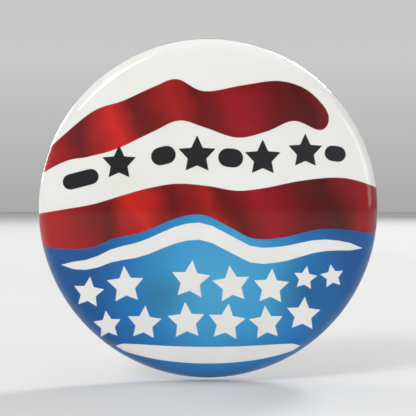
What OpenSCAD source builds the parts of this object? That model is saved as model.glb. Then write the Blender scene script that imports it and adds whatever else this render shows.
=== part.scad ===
// Button badge: a domed tinplate button whose printed paper lies under clear film, with a
// riveted brooch bar on its back plate, a hinged pin and a roll-over safety catch.
//
// Millimetres. +Z is up as worn and -Y is the printed face. The origin is the centre of the
// flat ring at the back, which lies on the garment.

/* [Button] */
// Diameter over the clear film
badge_d = 44.5; // [36:0.5:76]
// Radius of the slightly domed crown
crown_r = 105; // [80:5:220]
// Radius of the rounded shoulder, outside the shell
shoulder_r = 1.8; // [1.2:0.1:3]
// Straight wall between the shoulder and the curl
skirt_h = 0.4; // [0.2:0.1:2]
// Radius of the curl that closes the shell, outside the shell
curl_r = 0.8; // [0.65:0.05:1.2]
// Turn of the paper and film that are tucked inside the curl, in degrees
tuck_turn = 60; // [20:5:90]

/* [Layers] */
// Tinplate of the front shell
shell_t = 0.25; // [0.15:0.05:0.35]
// Printed paper
paper_t = 0.12; // [0.06:0.02:0.2]
// Clear film
film_t = 0.08; // [0.04:0.02:0.16]

/* [Back plate] */
// Tinplate of the back plate
plate_t = 0.25; // [0.15:0.05:0.4]
// Depth of the panel behind the garment face of the ring
recess_d = 1.7; // [1.2:0.1:2.4]
// Slope of the step between panel and ring, in degrees
step_slope = 65; // [45:5:80]
// Flat width of the ring that lies on the garment
ring_w = 1.8; // [1:0.1:4]
// Inside radius of the plate's bends
bend_r = 0.3; // [0.15:0.05:0.4]
// Clearance between the plate and the wrapped lip of the shell
seat_gap = 0.02; // [0.01:0.01:0.1]
// Clearance between the plate's edge and the shell's wall
edge_gap = 0.3; // [0.1:0.1:0.6]

/* [Brooch bar] */
// Width of the bar
bar_w = 5; // [4:0.25:7]
// Sheet thickness of the bar, its ears and its loop
bar_t = 0.6; // [0.4:0.05:0.8]
// Height of the bar's centre line above the badge's centre
bar_rise = 4; // [0:0.5:6]
// Flat panel left free at each end of the bar
bar_end_gap = 2.25; // [1:0.25:5]
// Corner cut off the bar at its catch end
bar_corner = 1.25; // [0.5:0.25:1.5]
// Height of the pin's axis above the bar
axis_h = 2.3; // [2.1:0.1:3.2]

/* [Hinge] */
// Diameter of the hinge rivet's shank
hinge_d = 1; // [0.8:0.1:1.4]
// Head diameter of the hinge rivet
hinge_head_d = 1.7; // [1.6:0.1:2.2]
// Head height of the hinge rivet
hinge_head_h = 0.3; // [0.2:0.05:0.5]
// Radius of the rounded ears
ear_r = 1.3; // [1.1:0.05:1.7]
// Running clearance around the rivet, and on each side of the pin's eye
hinge_gap = 0.06; // [0.03:0.01:0.1]
// Radius of the pin's flattened eye
eye_r = 1.45; // [1.35:0.05:1.7]
// Width of the pin's flattened eye
eye_w = 1.1; // [0.8:0.1:1.6]
// Bar left behind the hinge axis
hinge_setback = 2; // [1.7:0.1:3]

/* [Pin] */
// Wire diameter of the pin
pin_d = 0.9; // [0.7:0.05:1.1]
// Length of the ground point
point_l = 3.8; // [3.4:0.1:6]
// Length of the point that shows past the catch
point_out = 0.9; // [0.5:0.1:2]
// Flat that the grinding leaves on the tip, in diameter
tip_d = 0.08; // [0.04:0.02:0.2]
// Opening angle at which the pin's heel meets the bar, in degrees
swing_max = 70; // [50:5:80]
// Gap between heel and bar at that angle
heel_gap = 0.03; // [0.02:0.01:0.1]

/* [Catch] */
// Inside radius of the bar's loop
loop_r = 1.45; // [1.25:0.05:1.7]
// Thickness of the loop, radially
loop_t = 0.5; // [0.3:0.05:0.55]
// Width of the loop along the pin
loop_w = 1.6; // [1.2:0.1:2.4]
// Running clearance of the catch in its loop
catch_gap = 0.06; // [0.03:0.01:0.1]
// Clearance of the pin in the catch's slot, on each side
slot_gap = 0.1; // [0.05:0.05:0.2]
// Thickness of the catch's two cheeks
cheek_t = 0.4; // [0.3:0.05:0.6]
// Distance from the bar's end to the loop's middle
catch_setback = 1.9; // [1.6:0.1:3]
// Turn of the catch from open to locked, in degrees
catch_turn = 120; // [80:5:130]
// Reach of the thumb tab from the catch's axis
tab_reach = 3.6; // [2.8:0.1:4.5]
// Width of the thumb tab
tab_w = 1.5; // [1:0.1:2]

/* [Rivets] */
// Shank diameter of the two bar rivets
rivet_d = 1.8; // [1.4:0.1:2.2]
// Head diameter of the two bar rivets
rivet_head_d = 3; // [2.4:0.1:3.6]
// Head height of the two bar rivets
rivet_head_h = 0.45; // [0.3:0.05:0.7]
// Bore of their tubular ends
rivet_bore_d = 0.9; // [0.6:0.1:1.2]
// Diameter of their clinched ends inside the button
clinch_d = 2.7; // [2.5:0.1:3.2]
// Height of the clinched ends
clinch_h = 0.3; // [0.2:0.05:0.4]
// Space between a rivet's head and the hinge ears or the loop
rivet_space = 1.6; // [0.8:0.1:3]

/* [Hidden] */

// Facets of a full circle
$fn = 96;
// Degrees between points along each kind of bend
CROWN_STEP = 1;
SHOULDER_STEP = 6;
CURL_STEP = 9;
BEND_STEP = 12;
HEAD_STEP = 15;
EDGE_STEP = 22.5;
// How far a cutting solid runs past what it cuts
OVER = 1;

// The wrapped layers
wrap_t = paper_t + film_t;
shell_r = badge_d / 2 - wrap_t;
crown_turn = asin((shell_r - shoulder_r) / (crown_r - shoulder_r));
curl_z = curl_r + wrap_t;
lip_r = shell_r - 2 * curl_r;
crown_z = crown_r * (1 - cos(crown_turn)) + shoulder_r * cos(crown_turn) + skirt_h + curl_z;

// The back plate. Its outer bends have the sheet inside them.
outer_bend = bend_r + plate_t;
flare_bend = bend_r / 2;
plate_r = lip_r - wrap_t - seat_gap;
flare_z = curl_z + shell_t / 2 + wrap_t + seat_gap;
flare_r = shell_r - shell_t - edge_gap;
step_drop = (bend_r + outer_bend) * (1 - cos(step_slope));
step_wall = (recess_d - step_drop) / sin(step_slope);
step_run = (bend_r + outer_bend) * sin(step_slope) + step_wall * cos(step_slope);
panel_r = plate_r - outer_bend - ring_w - step_run;

// The brooch bar, seen from behind with +x to the right and +z towards the wearer
bar_l = 2 * (sqrt(pow(panel_r, 2) - pow(bar_rise + bar_w / 2, 2)) - bar_end_gap);
ear_gap = eye_w + 2 * hinge_gap;
ear_block_w = ear_gap + 2 * bar_t;
pin_z = bar_t + axis_h;
hinge_x = bar_l / 2 - hinge_setback;
catch_x = catch_setback - bar_l / 2;
catch_w = loop_w + 2 * (cheek_t + catch_gap);
slot_w = pin_d + 2 * slot_gap;
mouth_w = slot_w + 2 * slot_gap;
cheek_r = loop_r + loop_t - catch_gap;
tip_x = catch_x - catch_w / 2 - point_out;
stem_l = hinge_x - tip_x - point_l;
heel_l = (axis_h - heel_gap - pin_d / 2 * cos(swing_max)) / sin(swing_max);
rivet_xs = [hinge_x - ear_r - rivet_space - rivet_head_d / 2,
            catch_x + catch_w / 2 + rivet_space + rivet_head_d / 2];

// A sheet's outline: a path of straights and arcs, seen in the plane of radius and depth.
// Each move is [straight length, arc radius, turn in degrees, degrees between its points],
// and a left turn is positive. The points lie off to the path's left by `off`.

function left_of(heading) = [-sin(heading), cos(heading)];

function sheet_path(at, heading, moves, off, i = 0) =
    i == len(moves) ? [] :
    let (
        move = moves[i],
        turn = move[2],
        side = sign(turn),
        bend_at = at + move[0] * [cos(heading), sin(heading)],
        centre = bend_at + side * move[1] * left_of(heading),
        steps = turn == 0 ? 0 : ceil(abs(turn) / move[3]),
        start = i == 0 && move[0] > 0 ? [at + off * left_of(heading)] : [],
        first = i == 0 || move[0] > 0 ? 0 : 1,
        points = [for (k = [first:1:steps])
                  centre - (side * move[1] - off) * left_of(heading + turn * k / max(steps, 1))]
    )
    concat(start, points, sheet_path(centre - side * move[1] * left_of(heading + turn),
                                     heading + turn, moves, off, i + 1));

function backwards(points) = [for (i = [len(points) - 1:-1:0]) points[i]];

function without_last(points) = [for (i = [0:len(points) - 2]) points[i]];

// The shell's outer face from the apex, over the crown, down the skirt and round the curl
shell_moves = [
    [0, crown_r, -crown_turn, CROWN_STEP],
    [0, shoulder_r, crown_turn - 90, SHOULDER_STEP],
    [skirt_h, curl_r, -180, CURL_STEP],
];

// The same face, then round the lip's edge and back inside the curl, as the paper and film go
wrap_moves = concat(shell_moves, [
    [0, shell_t / 2, -180, EDGE_STEP],
    [0, curl_r - shell_t, tuck_turn, BEND_STEP],
]);

// The shell's own outline goes only as far as the lip's rounded edge
lip_moves = [for (i = [0:len(shell_moves)]) wrap_moves[i]];

plate_moves = [
    [panel_r, bend_r, -step_slope, BEND_STEP],
    [step_wall, outer_bend, step_slope, BEND_STEP],
    [ring_w, outer_bend, 90, BEND_STEP],
    [flare_z - flare_bend - outer_bend, flare_bend, -90, BEND_STEP],
    [flare_r - plate_r - flare_bend, 0, 0, 1],
];

// Turns a solid with +z towards the viewer so that the printed face looks along -Y.
module upright() {
    rotate([90, 0, 0]) children();
}

// Places a solid that is drawn on the bar, with +z away from the panel, on the back plate.
module on_panel() {
    upright()
        translate([0, bar_rise, recess_d])
            rotate([0, 180, 0])
                children();
}

// One layer that follows the outer face of the shell, between two distances from it
module wrapped_layer(from, to) {
    apex = [0, crown_z];
    upright()
        rotate_extrude()
            polygon(concat(sheet_path(apex, 0, wrap_moves, to),
                           backwards(sheet_path(apex, 0, wrap_moves, from))));
}

module front_shell() {
    apex = [0, crown_z];
    color("gainsboro")
        upright()
            rotate_extrude()
                polygon(concat(without_last(sheet_path(apex, 0, lip_moves, 0)),
                               backwards(sheet_path(apex, 0, shell_moves, -shell_t))));
}

module printed_disc() {
    color("firebrick") wrapped_layer(0, paper_t);
}

module clear_film() {
    color("aliceblue", 0.4) wrapped_layer(paper_t, wrap_t);
}

module back_plate() {
    centre = [0, recess_d];
    color("silver")
        difference() {
            upright()
                rotate_extrude()
                    polygon(concat(sheet_path(centre, 0, plate_moves, plate_t),
                                   backwards(sheet_path(centre, 0, plate_moves, 0))));
            rivet_holes();
        }
}

// Holes for the two bar rivets, right through the panel and the bar
module rivet_holes() {
    for (x = rivet_xs)
        on_panel()
            translate([x, 0, -plate_t - OVER])
                cylinder(d = rivet_d, h = plate_t + bar_t + 2 * OVER);
}

// Plan of the bar: full width in the middle, narrow at the hinge, tapered between them
module bar_plan() {
    taper = (bar_w - ear_block_w) / 2;
    neck_x = hinge_x - ear_r;
    polygon([
        [-bar_l / 2 + bar_corner, -bar_w / 2],
        [neck_x - taper, -bar_w / 2],
        [neck_x, -ear_block_w / 2],
        [bar_l / 2, -ear_block_w / 2],
        [bar_l / 2, ear_block_w / 2],
        [neck_x, ear_block_w / 2],
        [neck_x - taper, bar_w / 2],
        [-bar_l / 2 + bar_corner, bar_w / 2],
        [-bar_l / 2, bar_w / 2 - bar_corner],
        [-bar_l / 2, bar_corner - bar_w / 2],
    ]);
}

// The two ears that hold the hinge rivet
module ears() {
    for (side = [-1, 1])
        translate([hinge_x, side * (ear_gap + bar_t) / 2, 0])
            difference() {
                union() {
                    translate([-ear_r, -bar_t / 2, 0])
                        cube([2 * ear_r, bar_t, pin_z]);
                    translate([0, bar_t / 2, pin_z])
                        rotate([90, 0, 0])
                            cylinder(r = ear_r, h = bar_t);
                }
                translate([0, bar_t / 2 + OVER, pin_z])
                    rotate([90, 0, 0])
                        cylinder(d = hinge_d, h = bar_t + 2 * OVER);
            }
}

// The loop that holds the catch, open towards the wearer, on its short neck
module loop() {
    loop_out_r = loop_r + loop_t;
    neck_top = pin_z - loop_r / 2;
    translate([catch_x - loop_w / 2, 0, 0])
        difference() {
            union() {
                translate([0, 0, pin_z])
                    rotate([0, 90, 0])
                        cylinder(r = loop_out_r, h = loop_w);
                translate([0, -loop_r, 0])
                    cube([loop_w, 2 * loop_r, neck_top]);
            }
            translate([-OVER, 0, pin_z])
                rotate([0, 90, 0])
                    cylinder(r = loop_r, h = loop_w + 2 * OVER);
            translate([-OVER, -mouth_w / 2, pin_z])
                cube([loop_w + 2 * OVER, mouth_w, loop_out_r + OVER]);
        }
}

module brooch_bar() {
    color("lightsteelblue")
        difference() {
            on_panel() {
                linear_extrude(bar_t) bar_plan();
                ears();
                loop();
            }
            rivet_holes();
        }
}

// Two semi-tubular rivets: a domed head on the bar and a clinched end inside the button
module bar_rivets() {
    color("darkgray")
        for (x = rivet_xs)
            on_panel()
                translate([x, 0, 0])
                    rotate_extrude()
                        polygon([
                            [0, -plate_t / 2],
                            [rivet_bore_d / 2, -plate_t],
                            [rivet_bore_d / 2, -plate_t - clinch_h],
                            [clinch_d / 2 - clinch_h / 2, -plate_t - clinch_h],
                            [clinch_d / 2, -plate_t],
                            [rivet_d / 2, -plate_t],
                            [rivet_d / 2, bar_t],
                            for (a = [0:HEAD_STEP:90])
                                [rivet_head_d / 2 * cos(a), bar_t + rivet_head_h * sin(a)],
                        ]);
}

// The rivet through the ears, with a low domed head on each side
module hinge_rivet() {
    half = ear_block_w / 2;
    color("darkgray")
        on_panel()
            translate([hinge_x, 0, pin_z])
                rotate([-90, 0, 0])
                    rotate_extrude()
                        polygon([
                            for (a = [-90:HEAD_STEP:0])
                                [hinge_head_d / 2 * cos(a), hinge_head_h * sin(a) - half],
                            [hinge_d / 2, -half],
                            [hinge_d / 2, half],
                            for (a = [0:HEAD_STEP:90])
                                [hinge_head_d / 2 * cos(a), hinge_head_h * sin(a) + half],
                        ]);
}

// The pin: a flattened, pierced eye with a heel, a round stem and a ground point
module pin_stem() {
    color("whitesmoke")
        on_panel()
            translate([hinge_x, 0, pin_z])
                difference() {
                    union() {
                        translate([0, eye_w / 2, 0])
                            rotate([90, 0, 0])
                                cylinder(r = eye_r, h = eye_w);
                        translate([0, -eye_w / 2, -pin_d / 2])
                            cube([heel_l, eye_w, pin_d]);
                        rotate([0, -90, 0])
                            cylinder(d = pin_d, h = stem_l);
                        translate([-stem_l, 0, 0])
                            rotate([0, -90, 0])
                                cylinder(d1 = pin_d, d2 = tip_d, h = point_l);
                    }
                    translate([0, eye_w / 2 + OVER, 0])
                        rotate([90, 0, 0])
                            cylinder(d = hinge_d + 2 * hinge_gap, h = eye_w + 2 * OVER);
                }
}

// The roll-over catch: a slotted spool in the loop, with a thumb tab on its outer cheek.
// It is drawn open, with its slot towards the wearer.
module safety_catch() {
    hub_w = loop_w + 2 * catch_gap;
    color("gold")
        on_panel()
            translate([catch_x, 0, pin_z])
                difference() {
                    union() {
                        rotate([0, 90, 0])
                            cylinder(r = loop_r - catch_gap, h = hub_w, center = true);
                        for (side = [-1, 1])
                            translate([side * (hub_w + cheek_t) / 2, 0, 0])
                                rotate([0, 90, 0])
                                    cylinder(r = cheek_r, h = cheek_t, center = true);
                        translate([-(hub_w / 2 + cheek_t), 0, 0])
                            rotate([catch_turn / 2, 0, 0])
                                thumb_tab();
                    }
                    rotate([0, 90, 0])
                        cylinder(d = slot_w, h = catch_w + 2 * OVER, center = true);
                    translate([-catch_w / 2 - OVER, -slot_w / 2, 0])
                        cube([catch_w + 2 * OVER, slot_w, cheek_r + OVER]);
                }
}

// A flat tab with a round end, standing along +z
module thumb_tab() {
    straight = tab_reach - tab_w / 2;
    translate([0, -tab_w / 2, 0])
        cube([cheek_t, tab_w, straight]);
    translate([0, 0, straight])
        rotate([0, 90, 0])
            cylinder(d = tab_w, h = cheek_t);
}

front_shell();
printed_disc();
clear_film();
back_plate();
brooch_bar();
bar_rivets();
hinge_rivet();
pin_stem();
safety_catch();
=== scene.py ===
"""Dresses the button badge: printed paper and inks under clear film, tin plate, nickelled fittings."""
import math

import bmesh
import bpy
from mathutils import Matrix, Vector


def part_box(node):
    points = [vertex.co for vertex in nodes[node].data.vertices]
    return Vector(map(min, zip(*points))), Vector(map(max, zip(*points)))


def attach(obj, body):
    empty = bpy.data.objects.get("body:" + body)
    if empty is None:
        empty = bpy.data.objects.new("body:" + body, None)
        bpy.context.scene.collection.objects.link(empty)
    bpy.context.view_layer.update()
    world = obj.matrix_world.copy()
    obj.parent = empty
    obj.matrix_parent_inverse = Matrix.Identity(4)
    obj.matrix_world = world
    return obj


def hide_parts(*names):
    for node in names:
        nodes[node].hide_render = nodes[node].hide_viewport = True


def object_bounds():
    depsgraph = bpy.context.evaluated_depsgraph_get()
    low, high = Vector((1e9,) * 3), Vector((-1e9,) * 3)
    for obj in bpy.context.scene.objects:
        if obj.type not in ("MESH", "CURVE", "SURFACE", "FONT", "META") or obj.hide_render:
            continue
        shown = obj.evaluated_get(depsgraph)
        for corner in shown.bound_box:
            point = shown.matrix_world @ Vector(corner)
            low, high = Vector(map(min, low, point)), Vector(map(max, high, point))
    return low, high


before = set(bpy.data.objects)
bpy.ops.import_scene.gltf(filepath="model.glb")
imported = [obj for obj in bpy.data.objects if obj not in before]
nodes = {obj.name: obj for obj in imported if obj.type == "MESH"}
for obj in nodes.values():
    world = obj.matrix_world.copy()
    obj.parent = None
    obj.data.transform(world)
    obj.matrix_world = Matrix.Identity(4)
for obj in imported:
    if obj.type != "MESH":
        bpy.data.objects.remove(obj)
cad_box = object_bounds()

MM = 0.001
TURN = 2 * math.pi

# ---------------------------------------------------------------- sizes, in metres
# The badge's axis runs along Y, with the face towards -Y.

SHELL_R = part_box("front_shell")[1].x
RIM_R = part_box("clear_film")[1].x
APEX_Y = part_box("front_shell")[0].y
WRAP = RIM_R - SHELL_R
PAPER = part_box("printed_disc")[1].x - SHELL_R
PANEL_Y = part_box("brooch_bar")[0].y
PLATE_FLARE_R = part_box("back_plate")[1].x

CROWN_R = 105 * MM
SHOULDER_R = 1.8 * MM
SKIRT = 0.4 * MM
CURL_R = 0.8 * MM
SHELL_T = 0.25 * MM
TUCK = 60
PLATE_T = 0.25 * MM
RING_W = 1.8 * MM
STEP_SLOPE = 65
BEND_R = 0.3 * MM
SEAT_GAP = 0.02 * MM

# Where each wrapped layer lies, as its distance from the shell's outer face
PAPER_LAYER = (0.045 * MM, PAPER)
INK_LAYER = (PAPER + 0.004 * MM, PAPER + 0.018 * MM)
FILM_LAYER = (PAPER + 0.032 * MM, WRAP)

SPIN_STEPS = 180
MERGE = 0.0005 * MM
PLEATS = 74
PLEAT_DEPTH = 0.032 * MM


# ---------------------------------------------------------------- modelling by hand

def drop_selection():
    """Leaves edit mode with nothing selected."""
    if bpy.context.object and bpy.context.object.mode != "OBJECT":
        bpy.ops.object.mode_set(mode="OBJECT")
    bpy.ops.object.select_all(action="DESELECT")


def only(piece):
    """Selects one piece and makes it the active one."""
    drop_selection()
    piece.select_set(True)
    bpy.context.view_layer.objects.active = piece


def chain(name, points, closed=False):
    """A line of edges through the points: one corner of a plane, extruded from point to point."""
    drop_selection()
    bpy.ops.mesh.primitive_plane_add(size=MM, location=(0, 0, 0))
    piece = bpy.context.object
    piece.name = name
    bpy.ops.object.mode_set(mode="EDIT")
    bpy.ops.mesh.merge(type="CENTER")
    bpy.ops.transform.translate(value=points[0])
    for a, b in zip(points, points[1:]):
        step = Vector(b) - Vector(a)
        bpy.ops.mesh.extrude_region_move(TRANSFORM_OT_translate={"value": step})
    if closed:
        bpy.ops.mesh.select_all(action="SELECT")
        bpy.ops.mesh.edge_face_add()
    bpy.ops.object.mode_set(mode="OBJECT")
    return piece


def lathe(name, profile):
    """Spins a profile of (radius, y) points about the badge's axis and closes its seam and pole."""
    piece = chain(name, [(r, y, 0) for r, y in profile])
    only(piece)
    bpy.ops.object.mode_set(mode="EDIT")
    bpy.ops.mesh.select_all(action="SELECT")
    bpy.ops.mesh.spin(steps=SPIN_STEPS, angle=TURN, center=(0, 0, 0), axis=(0, 1, 0))
    bpy.ops.mesh.select_all(action="SELECT")
    bpy.ops.mesh.remove_doubles(threshold=MERGE)
    bpy.ops.mesh.normals_make_consistent(inside=False)
    bpy.ops.object.mode_set(mode="OBJECT")
    return piece


def apply(piece, kind, **settings):
    """Adds a modifier with these settings and applies it."""
    only(piece)
    modifier = piece.modifiers.new(kind.lower(), kind)
    for key, value in settings.items():
        setattr(modifier, key, value)
    bpy.ops.object.modifier_apply(modifier=modifier.name)


def recalculate(piece):
    """Merges doubled points and turns every face outwards."""
    only(piece)
    bpy.ops.object.mode_set(mode="EDIT")
    bpy.ops.mesh.select_all(action="SELECT")
    bpy.ops.mesh.remove_doubles(threshold=MERGE)
    bpy.ops.mesh.normals_make_consistent(inside=False)
    bpy.ops.object.mode_set(mode="OBJECT")


def smooth(piece, angle=35):
    """Shades a piece smooth across edges flatter than the angle, in degrees."""
    only(piece)
    bpy.ops.object.shade_smooth_by_angle(angle=math.radians(angle))


# ---------------------------------------------------------------- sheet paths

def sheet_path(at, heading, moves, off):
    """Points at a distance `off` from a path of straights and arcs, in the plane of radius and depth.

    Each move is (straight length, arc radius, turn in degrees, degrees between its points). A left
    turn is positive."""
    points = []
    x, y = at
    for index, (straight, radius, turn, step) in enumerate(moves):
        left = (-math.sin(math.radians(heading)), math.cos(math.radians(heading)))
        if straight and index == 0:
            points.append((x + off * left[0], y + off * left[1]))
        x += straight * math.cos(math.radians(heading))
        y += straight * math.sin(math.radians(heading))
        side = (turn > 0) - (turn < 0)
        cx, cy = x + side * radius * left[0], y + side * radius * left[1]
        steps = math.ceil(abs(turn) / step) if turn else 0
        for k in range(0 if index == 0 or straight else 1, steps + 1):
            a = math.radians(heading + turn * k / max(steps, 1))
            reach = side * radius - off
            points.append((cx + reach * math.sin(a), cy - reach * math.cos(a)))
        heading += turn
        a = math.radians(heading)
        x, y = cx + side * radius * math.sin(a), cy - side * radius * math.cos(a)
    return points


CROWN_TURN = math.degrees(math.asin((SHELL_R - SHOULDER_R) / (CROWN_R - SHOULDER_R)))
WRAP_MOVES = [
    (0, CROWN_R, -CROWN_TURN, 0.5),
    (0, SHOULDER_R, CROWN_TURN - 90, 5),
    (SKIRT, CURL_R, -180, 7.5),
    (0, SHELL_T / 2, -180, 22.5),
    (0, CURL_R - SHELL_T, TUCK, 12),
]


def wrap_profile(off):
    """The wrapped layers' profile at a distance from the shell, as (radius, y) points."""
    return [(max(r, 0), -z) for r, z in sheet_path((0, -APEX_Y), 0, WRAP_MOVES, off)]


def pleat(piece):
    """Gathers the wrapped layer into small radial pleats where it turns round to the back."""
    curl_r, curl_y = SHELL_R - CURL_R, -CURL_R - WRAP
    for vertex in piece.data.vertices:
        r = math.hypot(vertex.co.x, vertex.co.z)
        if vertex.co.y < curl_y or r < SHELL_R - 2 * CURL_R - WRAP:
            continue
        a = math.atan2(vertex.co.z, vertex.co.x)
        fade = min(1, (vertex.co.y - curl_y) / (CURL_R / 2))
        wave = math.cos(PLEATS * a + 2.1 * math.sin(3 * a) + 1.3 * math.sin(7 * a + 1))
        depth = PLEAT_DEPTH * fade * max(0, wave) ** 3 * (0.65 + 0.35 * math.sin(5 * a + 2))
        centre = Vector((curl_r * math.cos(a), curl_y, curl_r * math.sin(a)))
        vertex.co += (centre - vertex.co).normalized() * depth


def wrapped(name, layer):
    """One closed layer round the shell between two distances from it."""
    inner, outer = layer
    piece = lathe(name, wrap_profile(outer))
    pleat(piece)
    apply(piece, "SOLIDIFY", thickness=outer - inner, offset=-1, use_even_offset=False)
    return piece


# ---------------------------------------------------------------- artwork outlines
# Points are (x, z) in millimetres, seen from the front. Past the rim they are the print's bleed.

BLEED = 26
FLOW_STEPS = 8

# Depths that the cutters reach. The marks end in front of the curl, so none of them shows behind.
CUT_FROM = 2 * APEX_Y
CUT_FACE = -2 * MM
CUT_THROUGH = -APEX_Y


def flow(points):
    """A smooth line through the points."""
    line = []
    padded = [points[0]] + points + [points[-1]]
    for p0, p1, p2, p3 in zip(padded, padded[1:], padded[2:], padded[3:]):
        for k in range(FLOW_STEPS):
            t = k / FLOW_STEPS
            line.append(tuple(
                0.5 * (2 * b + (c - a) * t + (2 * a - 5 * b + 4 * c - d) * t ** 2
                       + (3 * b - a - 3 * c + d) * t ** 3)
                for a, b, c, d in zip(p0, p1, p2, p3)))
    return line + [points[-1]]


UPPER_BAND = flow([
    (-BLEED, 4.5), (-20.5, 8), (-15, 12.4), (-11, 13.8), (-7, 15.6), (-4, 16.6), (-0.5, 15), (4.5, 15.8),
    (9, 16.4), (12.4, 15.5), (14.7, 13.5), (15.6, 11.8), (15.2, 10.4), (14, 10.1), (11, 11.2),
    (7.5, 9.8), (3.7, 9), (-0.4, 10.3), (-3.7, 11.2), (-7, 9.8), (-11.7, 7.6), (-15.4, 6.6), (-19, 5.8),
    (-BLEED, 2)])
LOWER_BAND_TOP = flow([
    (-BLEED, -1.4), (-18.7, -0.2), (-14.7, 0.5), (-11, 1.6), (-7.7, 2.5), (-4, 3.1), (0, 2.8),
    (3.7, 2.2), (7.5, 2.6), (12, 3.5), (17, 3.9), (21, 3), (BLEED, 1)])
LOWER_BAND_FOOT = flow([
    (BLEED, -4), (20, -3.1), (14.7, -2.7), (9.5, -3.8), (5.8, -3.9), (2.9, -2.5), (-0.6, -0.9),
    (-4, -1.3), (-8.4, -3.1), (-12, -3.9), (-16.5, -5.3), (-BLEED, -4.6)])

# Bare stars in the blue field, as (x, z, size, tilt)
WHITE_STARS = [
    (-15.4, -10.9, 2.1, 6), (-10.6, -9.9, 2.5, -4), (-2.2, -9.2, 2.6, 5), (3, -9.8, 2.5, -6),
    (8.1, -10.1, 2.4, 3), (12.5, -9, 1.6, 8), (16, -8.8, 1.6, -8), (-13, -15.1, 1.9, -6),
    (-8.2, -14.8, 2.3, 4), (-2.8, -14.5, 2.5, -3), (2.4, -14.7, 2.5, 6), (7.5, -14.8, 2.3, -5),
    (12.3, -13.7, 2.3, 4),
]


def prism(name, outline, back):
    """A flat outline filled and extruded from before the dome to the depth `back`, as a cutter."""
    piece = chain(name, [(x * MM, CUT_FROM, z * MM) for x, z in outline], closed=True)
    thicken(piece, back - CUT_FROM)
    return piece


def thicken(piece, depth):
    """Extrudes a flat face along +Y into a closed solid."""
    only(piece)
    bpy.ops.object.mode_set(mode="EDIT")
    bpy.ops.mesh.select_all(action="SELECT")
    bpy.ops.mesh.extrude_region_move(TRANSFORM_OT_translate={"value": (0, depth, 0)})
    bpy.ops.mesh.select_all(action="SELECT")
    bpy.ops.mesh.normals_make_consistent(inside=False)
    bpy.ops.object.mode_set(mode="OBJECT")


def star(x, z, size, tilt=0.0):
    """A five-pointed star cutter: a ring of ten corners with every second one drawn in."""
    drop_selection()
    bpy.ops.mesh.primitive_circle_add(vertices=10, radius=size * MM, fill_type="NGON",
                                      rotation=(math.pi / 2, math.radians(tilt), 0))
    piece = bpy.context.object
    piece.name = "star"
    bpy.ops.object.transform_apply(location=False, rotation=True, scale=False)
    bpy.ops.object.mode_set(mode="EDIT")
    bpy.ops.mesh.select_mode(type="VERT")
    bpy.ops.mesh.select_all(action="DESELECT")
    mesh = bmesh.from_edit_mesh(piece.data)
    mesh.verts.ensure_lookup_table()
    for corner in mesh.verts:
        corner.select = corner.index % 2 == 1
    mesh.select_flush_mode()
    bmesh.update_edit_mesh(piece.data)
    bpy.ops.transform.resize(value=(0.5, 0.5, 0.5))
    bpy.ops.mesh.select_all(action="SELECT")
    bpy.ops.transform.translate(value=(x * MM, CUT_FROM, z * MM))
    bpy.ops.object.mode_set(mode="OBJECT")
    thicken(piece, CUT_FACE - CUT_FROM)
    return piece


def rule(x, z, length, height, tilt):
    """A short printed rule with rounded ends, as a cutter."""
    half, r = length / 2 - height / 2, height / 2
    outline = []
    for cx, start in ((half, -90), (-half, 90)):
        for k in range(9):
            a = math.radians(start + 22.5 * k)
            outline.append((cx + r * math.cos(a), r * math.sin(a)))
    c, s = math.cos(math.radians(tilt)), math.sin(math.radians(tilt))
    return prism("rule", [(x + c * u - s * v, z + s * u + c * v) for u, v in outline], CUT_FACE)


def join(pieces, name):
    """Makes one piece of several."""
    drop_selection()
    for piece in pieces:
        piece.select_set(True)
    bpy.context.view_layer.objects.active = pieces[0]
    bpy.ops.object.join()
    pieces[0].name = name
    return pieces[0]


def printed(name, sheet, cutter, holes=None):
    """The ink that a cutter leaves of a full ink sheet, less the holes that stay bare paper."""
    piece = sheet.copy()
    piece.data = sheet.data.copy()
    piece.name = name
    bpy.context.scene.collection.objects.link(piece)
    apply(piece, "BOOLEAN", operation="INTERSECT", solver="EXACT", object=cutter)
    if holes:
        apply(piece, "BOOLEAN", operation="DIFFERENCE", solver="EXACT", object=holes)
        bpy.data.objects.remove(holes)
    bpy.data.objects.remove(cutter)
    recalculate(piece)
    smooth(piece)
    return piece


# ---------------------------------------------------------------- materials

def material(name):
    """A new node material: (material, its nodes, its shader, a function that links two sockets)."""
    made = bpy.data.materials.new(name)
    made.use_nodes = True
    tree = made.node_tree
    shader = tree.nodes["Principled BSDF"]
    return made, tree.nodes, shader, tree.links.new


def place(tree_nodes, link, scale=(1, 1, 1), turn=(0, 0, 0)):
    """Object coordinates, scaled and turned."""
    here = tree_nodes.new("ShaderNodeTexCoord")
    mapping = tree_nodes.new("ShaderNodeMapping")
    mapping.inputs["Scale"].default_value = scale
    mapping.inputs["Rotation"].default_value = turn
    link(here.outputs["Object"], mapping.inputs["Vector"])
    return mapping.outputs["Vector"]


def noise(tree_nodes, link, where, size, detail, rough=0.55):
    """Noise whose blotches are about `size` metres across."""
    grain = tree_nodes.new("ShaderNodeTexNoise")
    grain.inputs["Scale"].default_value = 1 / size
    grain.inputs["Detail"].default_value = detail
    grain.inputs["Roughness"].default_value = rough
    link(where, grain.inputs["Vector"])
    return grain.outputs["Fac"]


def ramp(tree_nodes, link, fac, stops):
    """A colour that goes from stop to stop as fac goes from 0 to 1."""
    made = tree_nodes.new("ShaderNodeValToRGB")
    made.color_ramp.elements[0].position = stops[0][0]
    made.color_ramp.elements[1].position = stops[-1][0]
    for position, _ in stops[1:-1]:
        made.color_ramp.elements.new(position)
    for element, (_, colour) in zip(made.color_ramp.elements, stops):
        element.color = (*colour, 1)
    link(fac, made.inputs["Fac"])
    return made.outputs["Color"]


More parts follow.
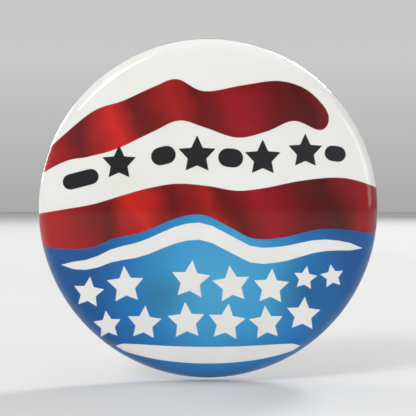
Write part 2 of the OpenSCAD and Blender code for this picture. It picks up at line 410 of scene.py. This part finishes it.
def spread(tree_nodes, link, fac, low, high):
    """A number from low to high, as fac goes from 0.3 to 0.7."""
    made = tree_nodes.new("ShaderNodeMapRange")
    made.inputs["From Min"].default_value = 0.3
    made.inputs["From Max"].default_value = 0.7
    made.inputs["To Min"].default_value = low
    made.inputs["To Max"].default_value = high
    link(fac, made.inputs["Value"])
    return made.outputs["Result"]


def bump(tree_nodes, link, height, depth, strength, under=None):
    """Fine relief of the given depth, on top of the relief `under`."""
    made = tree_nodes.new("ShaderNodeBump")
    made.inputs["Strength"].default_value = strength
    made.inputs["Distance"].default_value = depth
    link(height, made.inputs["Height"])
    if under:
        link(under, made.inputs["Normal"])
    return made.outputs["Normal"]


def metal(name, light, dark, rough, grain):
    """Plated sheet or wire: fine drawn lines, cloudy tarnish and small pits."""
    made, tree_nodes, shader, link = material(name)
    depth = 0.004 * MM
    lines = noise(tree_nodes, link, place(tree_nodes, link, grain), 0.1 * MM, 3)
    cloud = noise(tree_nodes, link, place(tree_nodes, link), 4 * MM, 5)
    pits = noise(tree_nodes, link, place(tree_nodes, link), 0.35 * MM, 2)
    link(ramp(tree_nodes, link, cloud, [(0.35, dark), (0.6, light)]), shader.inputs["Base Color"])
    shader.inputs["Metallic"].default_value = 1
    link(spread(tree_nodes, link, cloud, rough[1], rough[0]), shader.inputs["Roughness"])
    under = bump(tree_nodes, link, pits, depth, 0.2)
    link(bump(tree_nodes, link, lines, depth, 0.6, under), shader.inputs["Normal"])
    return made


def paper_stock():
    """Coated white paper, faintly warm and uneven in tone, with fibres."""
    made, tree_nodes, shader, link = material("coated_paper")
    where = place(tree_nodes, link)
    fibres = noise(tree_nodes, link, where, 0.25 * MM, 4)
    tone = noise(tree_nodes, link, where, 9 * MM, 3)
    link(ramp(tree_nodes, link, tone, [(0.35, (0.90, 0.895, 0.87)), (0.65, (0.94, 0.94, 0.925))]),
         shader.inputs["Base Color"])
    shader.inputs["Roughness"].default_value = 0.6
    shader.inputs["Specular IOR Level"].default_value = 0.2
    link(bump(tree_nodes, link, fibres, 0.004 * MM, 0.5), shader.inputs["Normal"])
    return made


SCREEN_PITCH = 0.26 * MM
SCREEN_TURN = 0.26  # radians


def screen(tree_nodes, link, pitch, turn):
    """The soft dots of a printing screen, in rows on a turned grid across the face."""
    split = tree_nodes.new("ShaderNodeSeparateXYZ")
    link(place(tree_nodes, link, (TURN / pitch, 1, TURN / pitch), (0, turn, 0)), split.inputs["Vector"])
    waves = []
    for axis in ("X", "Z"):
        wave = tree_nodes.new("ShaderNodeMath")
        wave.operation = "SINE"
        link(split.outputs[axis], wave.inputs[0])
        waves.append(wave.outputs["Value"])
    dots = tree_nodes.new("ShaderNodeMath")
    dots.operation = "MULTIPLY_ADD"
    link(waves[0], dots.inputs[0])
    link(waves[1], dots.inputs[1])
    dots.inputs[2].default_value = 0.5
    return dots.outputs["Value"]


def shaded(tree_nodes, link, colour, fac, low):
    """A colour darkened to `low` of itself where fac is low."""
    tint = tree_nodes.new("ShaderNodeMix")
    tint.data_type = "RGBA"
    tint.blend_type = "MULTIPLY"
    tint.inputs["Factor"].default_value = 1
    link(colour, tint.inputs["A"])
    link(ramp(tree_nodes, link, fac, [(0.3, (low, low, low)), (0.7, (1, 1, 1))]), tint.inputs["B"])
    return tint.outputs["Result"]


def ink(name, stops, axis=(1, 0, 0), centre=None, reach=RIM_R, deeper=()):
    """Printing ink whose tone changes along an axis or outwards from a centre, deeper in round spots,
    screened and finely mottled."""
    made, tree_nodes, shader, link = material(name)
    where = place(tree_nodes, link)
    split = tree_nodes.new("ShaderNodeVectorMath")
    split.operation = "DISTANCE" if centre else "DOT_PRODUCT"
    split.inputs[1].default_value = centre or axis
    link(where, split.inputs[0])
    along = tree_nodes.new("ShaderNodeMapRange")
    along.inputs["From Min"].default_value = 0 if centre else -reach
    along.inputs["From Max"].default_value = reach
    link(split.outputs["Value"], along.inputs["Value"])
    drift = noise(tree_nodes, link, where, 5 * MM, 3)
    shifted = tree_nodes.new("ShaderNodeMath")
    shifted.operation = "ADD"
    link(along.outputs["Result"], shifted.inputs[0])
    link(spread(tree_nodes, link, drift, -0.03, 0.03), shifted.inputs[1])
    colour = ramp(tree_nodes, link, shifted.outputs["Value"], stops)
    for spot, radius in deeper:
        away = tree_nodes.new("ShaderNodeVectorMath")
        away.operation = "DISTANCE"
        away.inputs[1].default_value = spot
        link(where, away.inputs[0])
        fade = tree_nodes.new("ShaderNodeMapRange")
        fade.inputs["From Max"].default_value = radius
        fade.inputs["To Min"].default_value = 0.3
        fade.inputs["To Max"].default_value = 0.7
        link(away.outputs["Value"], fade.inputs["Value"])
        colour = shaded(tree_nodes, link, colour, fade.outputs["Result"], 0.6)
    speck = noise(tree_nodes, link, where, 0.22 * MM, 3)
    colour = shaded(tree_nodes, link, colour, screen(tree_nodes, link, SCREEN_PITCH, SCREEN_TURN), 0.86)
    colour = shaded(tree_nodes, link, colour, speck, 0.88)
    link(colour, shader.inputs["Base Color"])
    shader.inputs["Roughness"].default_value = 0.6
    shader.inputs["Specular IOR Level"].default_value = 0.1
    link(bump(tree_nodes, link, speck, 0.002 * MM, 0.4), shader.inputs["Normal"])
    return made


def film_clear():
    """Clear polyester film: a mirror-like skin over a see-through body, uneven and hair-scratched."""
    made, tree_nodes, shader, link = material("clear_film")
    where = place(tree_nodes, link)
    waves = noise(tree_nodes, link, where, 6 * MM, 2)
    hairs = noise(tree_nodes, link, place(tree_nodes, link, (1, 1, 22), (0, 0.6, 0)), 1.6 * MM, 5, 0.7)
    tree_nodes.remove(shader)
    normal = bump(tree_nodes, link, waves, 0.02 * MM, 0.5)
    glossy = tree_nodes.new("ShaderNodeBsdfGlossy")
    link(spread(tree_nodes, link, hairs, 0.03, 0.12), glossy.inputs["Roughness"])
    link(normal, glossy.inputs["Normal"])
    clear = tree_nodes.new("ShaderNodeBsdfTransparent")
    clear.inputs["Color"].default_value = (0.985, 0.985, 0.98, 1)
    faint = tree_nodes.new("ShaderNodeMixShader")
    faint.inputs["Fac"].default_value = 0.012
    link(clear.outputs["BSDF"], faint.inputs[1])
    link(glossy.outputs["BSDF"], faint.inputs[2])
    slant = tree_nodes.new("ShaderNodeLayerWeight")
    slant.inputs["Blend"].default_value = 0.05
    skin = tree_nodes.new("ShaderNodeMixShader")
    link(slant.outputs["Facing"], skin.inputs["Fac"])
    link(faint.outputs["Shader"], skin.inputs[1])
    link(glossy.outputs["BSDF"], skin.inputs[2])
    link(skin.outputs["Shader"], tree_nodes["Material Output"].inputs["Surface"])
    return made


def wear(piece, finish):
    """Gives a piece, or a node of the badge, one material."""
    piece.data.materials.clear()
    piece.data.materials.append(finish)


def settle(piece, finish, body, slot, *stands_for):
    """Finishes a piece: material, the body it rides on and the nodes it stands for. `slot` is not used.
    """
    wear(piece, finish)
    if stands_for:
        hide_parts(*stands_for)
    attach(piece, body)


TIN = metal("rolled_tin", (0.60, 0.60, 0.59), (0.51, 0.51, 0.50), (0.19, 0.30), (0.05, 1, 1))
NICKEL = metal("bright_nickel", (0.66, 0.62, 0.56), (0.46, 0.42, 0.37), (0.14, 0.28), (0.15, 1, 1))
PIN_STEEL = metal("drawn_wire", (0.66, 0.66, 0.67), (0.48, 0.48, 0.50), (0.13, 0.26), (0.04, 1, 1))
PAPER_WHITE = paper_stock()
RED = ink("red_ink", [
    (0.05, (0.52, 0.004, 0.006)), (0.13, (0.32, 0.001, 0.004)), (0.20, (0.15, 0.001, 0.002)),
    (0.29, (0.76, 0.014, 0.008)), (0.40, (0.15, 0.001, 0.002)), (0.50, (0.46, 0.010, 0.008)),
    (0.56, (0.16, 0.001, 0.003)), (0.67, (0.40, 0.004, 0.012)), (0.77, (0.18, 0.001, 0.003)),
    (0.86, (0.09, 0.001, 0.001)), (0.95, (0.36, 0.008, 0.010)),
], axis=(1, 0, 0.3))
BLUE = ink("blue_ink", [
    (0.03, (0.09, 0.49, 0.84)), (0.4, (0.05, 0.41, 0.79)), (0.68, (0.008, 0.23, 0.62)),
    (0.97, (0.001, 0.11, 0.39)),
], centre=(1.5 * MM, APEX_Y, -9.5 * MM), reach=17 * MM, deeper=[
    ((-5.9 * MM, APEX_Y, -11 * MM), 4.2 * MM), ((12.5 * MM, APEX_Y, -10.8 * MM), 5 * MM)])
BLACK = ink("black_ink", [(0.2, (0.010, 0.010, 0.013)), (0.8, (0.018, 0.018, 0.022))])
FILM = film_clear()


# ---------------------------------------------------------------- the front's layers

def make_paper():
    """The printed disc's paper, bare."""
    piece = wrapped("paper_disc", PAPER_LAYER)
    smooth(piece)
    settle(piece, PAPER_WHITE, "button", "printed_paper", "printed_disc")


def make_film():
    """The clear film, over the inks."""
    piece = wrapped("film_cover", FILM_LAYER)
    smooth(piece)
    settle(piece, FILM, "button", "clear_film", "clear_film")


def ribbon(start, end, middle, width):
    """A white ribbon cutter with pointed ends; `middle` gives its middle line's height at each x."""
    count = 24
    upper, lower = [], []
    for k in range(count + 1):
        x = start + (end - start) * k / count
        half = width / 2 * math.sin(math.pi * k / count) ** 0.4
        upper.append((x, middle(x) + half))
        lower.append((x, middle(x) - half))
    return prism("ribbon", upper + lower[-2:0:-1], CUT_FACE)


def band_foot(x):
    """Height of the lower band's foot at x, read off its own outline."""
    return next(z0 + (z1 - z0) * (x - x0) / (x1 - x0)
                for (x1, z1), (x0, z0) in zip(LOWER_BAND_FOOT, LOWER_BAND_FOOT[1:]) if x0 <= x <= x1)


def make_inks():
    """Two wavy red bands, black marks between them, and a blue field with bare stars and ribbons."""
    sheet = wrapped("ink_sheet", INK_LAYER)
    for name, outline in (("ink_upper_red_band", UPPER_BAND),
                          ("ink_lower_red_band", LOWER_BAND_TOP + LOWER_BAND_FOOT)):
        settle(printed(name, sheet, prism("band", outline, CUT_THROUGH)), RED, "button", "printed_paper")

    field = prism("field", LOWER_BAND_FOOT + [(-BLEED, -BLEED), (BLEED, -BLEED)], CUT_THROUGH)
    holes = [ribbon(-19, 20, lambda x: band_foot(x) - 2.1, 2.2),
             ribbon(-12, 12, lambda x: -19 + 0.008 * x * x, 2.2)]
    holes += [star(*white_star) for white_star in WHITE_STARS]
    settle(printed("ink_blue_field", sheet, field, join(holes, "holes")), BLUE, "button", "printed_paper")

    marks = [rule(-16.4, 3.7, 4.8, 2.0, 14), star(-11.4, 5.8, 2.3), rule(-5.7, 6.7, 3.2, 2.3, 14),
             star(-1.4, 6.8, 2.5), rule(2.9, 6.4, 3.2, 2.4, -6), star(7, 6.4, 2.4), star(12.5, 7.3, 2.3),
             rule(16.4, 7, 2.8, 2.0, -8)]
    settle(printed("ink_black_marks", sheet, join(marks, "marks")), BLACK, "button", "printed_paper")
    bpy.data.objects.remove(sheet)


# ---------------------------------------------------------------- the back

def make_back_plate():
    """The pressed plate: a beaded panel, a step, a flat ring and the flare behind the curl."""
    outer_bend = BEND_R + PLATE_T
    curl_z = CURL_R + WRAP
    recess = -PANEL_Y
    slope = math.radians(STEP_SLOPE)
    lip_r = SHELL_R - 2 * CURL_R
    plate_r = lip_r - WRAP - SEAT_GAP
    step_wall = (recess - (BEND_R + outer_bend) * (1 - math.cos(slope))) / math.sin(slope)
    step_run = (BEND_R + outer_bend) * math.sin(slope) + step_wall * math.cos(slope)
    panel_r = plate_r - outer_bend - RING_W - step_run
    flare_z = curl_z + SHELL_T / 2 + WRAP + SEAT_GAP
    flare_bend = BEND_R / 2
    moves = [
        (panel_r, BEND_R, -STEP_SLOPE, 7.5),
        (step_wall, outer_bend, STEP_SLOPE, 7.5),
        (RING_W, outer_bend, 90, 7.5),
        (flare_z - flare_bend - outer_bend, flare_bend, -90, 15),
        (PLATE_FLARE_R - plate_r - flare_bend, 0, 0, 1),
    ]
    path = sheet_path((0, recess), 0, moves, 0)
    bead_r, bead_w, bead_h = panel_r - 1.1 * MM, 0.5 * MM, 0.16 * MM
    panel = [(panel_r * k / 16, recess) for k in range(12)]
    bead = [(bead_r + bead_w * math.cos(math.radians(180 - 15 * k)),
             recess - bead_h * math.sin(math.radians(15 * k)) ** 2) for k in range(13)]
    profile = [(r, -z) for r, z in panel + bead + path[1:]]
    piece = lathe("tin_back", profile)
    apply(piece, "SOLIDIFY", thickness=PLATE_T, offset=-1, use_even_offset=False)
    smooth(piece)
    settle(piece, TIN, "button", "tinplate", "back_plate")


def dressed(node, name, finish, body, slot, edge):
    """A fitting as it leaves the tumbling barrel: the node's shape with its sharp edges rounded."""
    source = nodes[node]
    piece = source.copy()
    piece.data = source.data.copy()
    for key in list(piece.keys()):
        if key.startswith("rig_"):
            del piece[key]
    piece.parent = None
    piece.name = name
    bpy.context.scene.collection.objects.link(piece)
    only(piece)
    bpy.ops.object.mode_set(mode="EDIT")
    bpy.ops.mesh.select_all(action="SELECT")
    bpy.ops.mesh.customdata_custom_splitnormals_clear()
    bpy.ops.mesh.remove_doubles(threshold=MERGE)
    bpy.ops.mesh.dissolve_limited(angle_limit=math.radians(1))
    bpy.ops.object.mode_set(mode="OBJECT")
    apply(piece, "BEVEL", width=edge, segments=3, limit_method="ANGLE", angle_limit=math.radians(40),
          use_clamp_overlap=True, miter_outer="MITER_ARC")
    smooth(piece, 40)
    apply(piece, "WEIGHTED_NORMAL", weight=90, keep_sharp=True)
    settle(piece, finish, body, slot, node)


make_paper()
make_inks()
make_film()
make_back_plate()
wear(nodes["front_shell"], TIN)
dressed("brooch_bar", "nickelled_bar", NICKEL, "button", "nickel_plate", 0.07 * MM)
dressed("bar_rivets", "bar_rivet_heads", NICKEL, "button", "nickel_plate", 0.03 * MM)
dressed("hinge_rivet", "hinge_rivet_head", NICKEL, "button", "nickel_plate", 0.03 * MM)
dressed("pin_stem", "ground_pin", PIN_STEEL, "pin", "pin_steel", 0.05 * MM)
dressed("safety_catch", "catch_roller", NICKEL, "catch", "nickel_plate", 0.05 * MM)


# ---------------------------------------------------------------- floor, light and camera

BADGE_SHARE = 0.84  # of the frame's width


def make_floor():
    """A pale floor just under the badge."""
    drop_selection()
    low = cad_box[0].z - 0.4 * MM
    bpy.ops.mesh.primitive_plane_add(size=12, location=(0, 0, low))
    floor = bpy.context.object
    floor.name = "floor"
    made, tree_nodes, shader, link = material("pale_floor")
    tone = noise(tree_nodes, link, place(tree_nodes, link), 0.05, 3)
    link(ramp(tree_nodes, link, tone, [(0.3, (0.66, 0.66, 0.655)), (0.7, (0.69, 0.69, 0.685))]),
         shader.inputs["Base Color"])
    shader.inputs["Roughness"].default_value = 0.8
    wear(floor, made)


def make_light(name, place_at, width, power):
    """A square soft box that faces the badge."""
    drop_selection()
    bpy.ops.object.light_add(type="AREA", location=place_at)
    lamp = bpy.context.object
    lamp.name = name
    lamp.data.size = width
    lamp.data.energy = power
    lamp.rotation_mode = "QUATERNION"
    lamp.rotation_quaternion = Vector(place_at).to_track_quat("Z", "Y")


def make_world():
    """A pale room with a darker band high round it, so that metal has something to show."""
    world = bpy.data.worlds.new("pale_room")
    bpy.context.scene.world = world
    world.use_nodes = True
    world_nodes, link = world.node_tree.nodes, world.node_tree.links.new
    where = world_nodes.new("ShaderNodeTexCoord")
    split = world_nodes.new("ShaderNodeSeparateXYZ")
    link(where.outputs["Generated"], split.inputs["Vector"])
    stops = [(0.0, (0.40, 0.402, 0.405)), (0.14, (0.58, 0.583, 0.588)), (0.26, (0.56, 0.563, 0.568)),
             (0.45, (0.20, 0.203, 0.208)), (0.62, (0.22, 0.223, 0.228)), (1, (0.70, 0.70, 0.70))]
    sky = world_nodes["Background"]
    link(ramp(world_nodes, link, split.outputs["Z"], stops), sky.inputs["Color"])
    sky.inputs["Strength"].default_value = 1


def make_camera():
    """Straight on, with the badge across most of the frame."""
    span = (cad_box[1].x - cad_box[0].x) / BADGE_SHARE
    lens, sensor = 90, 36
    distance = span * lens / sensor
    drop_selection()
    bpy.ops.object.camera_add(location=(0, cad_box[0].y - distance, 0), rotation=(math.pi / 2, 0, 0))
    camera = bpy.context.object
    camera.data.lens, camera.data.sensor_width = lens, sensor
    camera.data.clip_start, camera.data.clip_end = 0.005, 10
    bpy.context.scene.camera = camera


# Each light's place, its width and its power
LIGHTS = {
    "ceiling": ((0, 0, 3), 5, 24),
    "key": ((-0.85, -1.2, 1.1), 0.6, 15),
    "fill": ((1.3, -1.0, 0.4), 0.8, 5),
    "rear_key": ((0.8, 1.2, 1.2), 0.5, 15),
    "rear_fill": ((-1.2, 0.8, 0.5), 0.6, 6),
}

make_floor()
make_world()
for light_name, (place_at, width, power) in LIGHTS.items():
    make_light(light_name, place_at, width, power)
# The inks show at their own colours
bpy.context.scene.view_settings.view_transform = "Standard"
make_camera()
